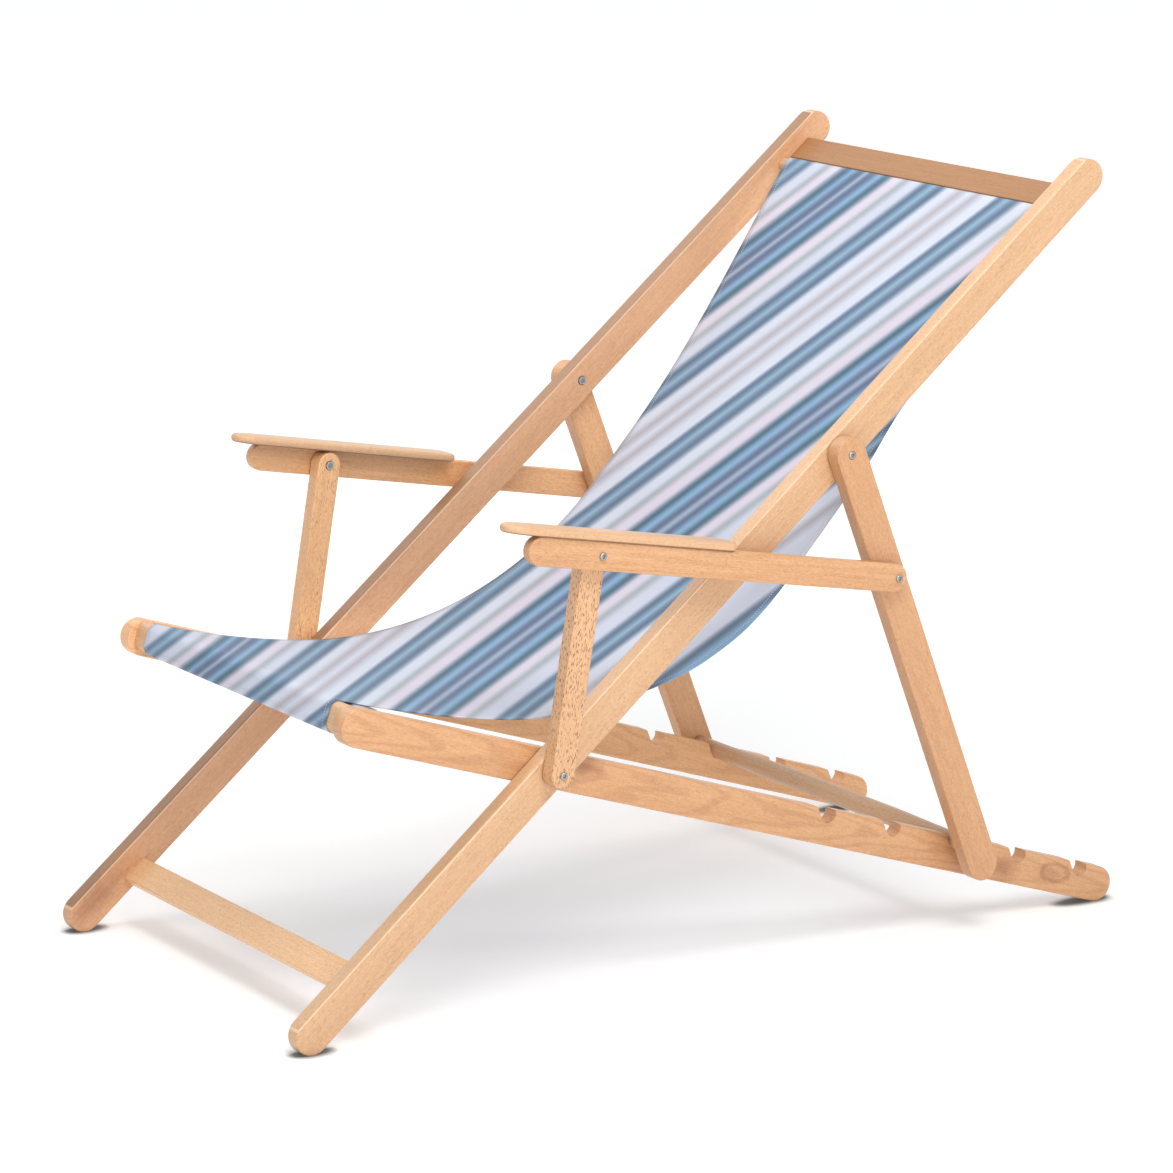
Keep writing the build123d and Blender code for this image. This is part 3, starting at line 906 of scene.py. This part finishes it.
def bandColours(shader, place):
    # a ramp holds 32 stops at most, so the bands go over several, each taking over where the last one ends;
    # the tones run into each other evenly to the eye, so the gamma is put on after the mixing
    look = stripeLook
    stops = []
    for name, *spots in bands:
        tone = tuple(c ** (1 / clothGamma) for c in clothTones[name])
        stops += [((spot - look["first"]) / look["span"], tone) for spot in spots]
    colour = None
    for first in range(0, len(stops) - 1, rampStops):
        part = stops[first:first + rampStops + 1]
        ramp = shader.make("ShaderNodeValToRGB", {"stops": part}, {0: place})
        colour = shader.mix(place.over(part[0][0]), colour, ramp) if colour else ramp
    return shader.make("ShaderNodeGamma", None, {0: colour, 1: clothGamma})


def canvasCloth():
    look = clothLook
    shader = Shader(bpy.data.materials.new("stripedCanvasCloth"))
    weave = shader.make("ShaderNodeUVMap", {"uv_map": "weave"})
    place = shader.part(shader.make("ShaderNodeUVMap", {"uv_map": "stripes"}), 0)
    across = shader.part(weave, 0)
    down = shader.part(weave, 1)
    slub = shader.noise(weave, *look["slub"])
    colour = bandColours(shader, place + (slub - 0.5) * stripeLook["waver"])
    # plain weave: warp and weft threads pass over each other
    wave = 2 * pi / look["thread"]
    basket = (across * wave).sine() * (down * wave).sine()
    threads = shader.noise(shader.stretch(weave, look["threadStretch"]), *look["threads"])
    cloudy = shader.noise(weave, *look["cloudy"])
    # hems down both sides, held by a row of stitches
    inward = canvasLook["halfFront"] - across.size()
    hem = 1 - inward.above(look["hem"] - look["hemEdge"], look["hem"] + look["hemEdge"])
    seam = 1 - (inward - (look["hem"] - look["seamIn"])).size().above(*look["seamEdge"])
    stitch = seam * (down * (2 * pi / look["stitch"])).sine().above(*look["stitchEdge"])
    shade = basket * look["basketShade"] + (cloudy - 0.5) * look["cloudShade"] + look["shade"]
    shade = shade + (threads - 0.5) * look["threadShade"] - seam * look["seamShade"]
    colour = shader.mix(1.0, colour, shader.grey(shade), "MULTIPLY")
    colour = shader.mix(stitch * look["stitchShare"], colour, clothTones["white"])
    height = basket * (1 - look["threadHigh"]) + threads * look["threadHigh"]
    normal = shader.bump(height, *look["weaveRelief"])
    normal = shader.bump(hem + stitch * look["stitchHigh"], *look["hemRelief"], normal)
    puckers = shader.noise(shader.stretch(weave, look["puckerStretch"]), *look["puckers"])
    normal = shader.bump(puckers, *look["puckerRelief"], normal)
    rough = (slub - 0.5) * look["slubRoughness"] + look["roughness"]
    return shader.finish(
        Base_Color=colour, Roughness=rough, Normal=normal,
        Sheen_Weight=look["sheen"], Sheen_Roughness=look["sheenRoughness"],
    )


makeCanvas()

# Floor and light
stageLook = {
    "floorSide": 120.0,
    "floorTone": (0.862, 0.870, 0.876),
    "floorRoughness": 0.9,
    "nearGlow": 0.25,
    "farGlow": 0.55,
    "glowStart": 0.9,
    "glowEnd": 2.8,
    "nookReach": 0.018,
    "nookSamples": 16,
    "nookEdge": (0.48, 0.98),
    "nookTone": (0.14, 0.14, 0.14),
    "nookGlow": 0.2,
    "white": (1, 1, 1),
    "worldLight": 0.47,
}
# Name, place, what it points at, width and height, and watts
lights = [
    ("key", (1.75, -0.35, 2.65), (0, 0, 0.3), (1.3, 1.3), 43),
    ("overhead", (-0.55, -0.5, 3.0), (0, 0.05, 0), (1.8, 1.8), 29),
    ("side", (3.7, -1.2, 1.0), (0, 0, 0.4), (1.8, 1.2), 32),
    ("back", (-3.2, -0.4, 2.5), (0, 0, 0.5), (2.0, 1.4), 9),
]


def floorPaint():
    look = stageLook
    shader = Shader(bpy.data.materials.new("paleFloor"))
    # the sweep is lit from below further out, so it runs into the white behind
    spot = shader.place()
    far = (shader.part(spot, 0) ** 2 + shader.part(spot, 1) ** 2) ** 0.5
    glow = far.above(look["glowStart"], look["glowEnd"]) * (look["farGlow"] - look["nearGlow"])
    glow = glow + look["nearGlow"]
    # painted contact shadow: close to a foot the floor darkens at once, in colour and in glow
    reach = {"Distance": look["nookReach"]}
    nook = shader.make("ShaderNodeAmbientOcclusion", {"samples": look["nookSamples"]}, reach, 1)
    clear = nook.above(*look["nookEdge"])
    tone = shader.mix(clear, look["nookTone"], look["floorTone"])
    light = shader.grey(glow * (clear * (1 - look["nookGlow"]) + look["nookGlow"]))
    return shader.finish(
        Base_Color=tone, Roughness=look["floorRoughness"], Emission_Color=light, Emission_Strength=1.0
    )


def makeFloor():
    mesh = bmesh.new()
    bmesh.ops.create_grid(mesh, x_segments=1, y_segments=1, size=stageLook["floorSide"] / 2)
    floor = keepMesh("floor", mesh, floorPaint())


def softLight(name, place, aim, size, power):
    data = bpy.data.lights.new(name, "AREA")
    data.shape = "RECTANGLE"
    data.size, data.size_y = size
    data.energy = power
    lamp = bpy.data.objects.new(name, data)
    lamp.location = place
    lamp.rotation_euler = (Vector(aim) - Vector(place)).to_track_quat("-Z", "Y").to_euler()
    bpy.context.scene.collection.objects.link(lamp)


def makeWorld():
    # plain white to the eye and in reflections, and a softer white as light on the chair
    look = stageLook
    world = bpy.data.worlds.new("studio")
    shader = Shader(world, "ShaderNodeOutputWorld")
    behind = shader.make("ShaderNodeBackground", None, {0: look["white"], 1: 1.0})
    around = shader.make("ShaderNodeBackground", None, {0: look["white"], 1: look["worldLight"]})
    seen = shader.make("ShaderNodeLightPath") + shader.make("ShaderNodeLightPath", output="Is Glossy Ray")
    mixed = shader.make("ShaderNodeMixShader", None, {0: seen, 1: around, 2: behind})
    shader.give(shader.output.inputs[0], mixed)
    bpy.context.scene.world = world


def makeCamera():
    look = cameraLook
    data = bpy.data.cameras.new("camera")
    data.sensor_width = look["sensor"]
    data.lens = look["lens"]
    data.clip_end = look["farthest"]
    camera = bpy.data.objects.new("camera", data)
    axes = Matrix((look["right"], look["up"], look["back"])).transposed().to_4x4()
    camera.matrix_world = Matrix.Translation(look["place"]) @ axes
    bpy.context.scene.collection.objects.link(camera)
    bpy.context.scene.camera = camera


makeFloor()
makeWorld()
for light in lights:
    softLight(*light)
makeCamera()
bpy.context.scene.view_settings.view_transform = "Standard"
print("stage set")
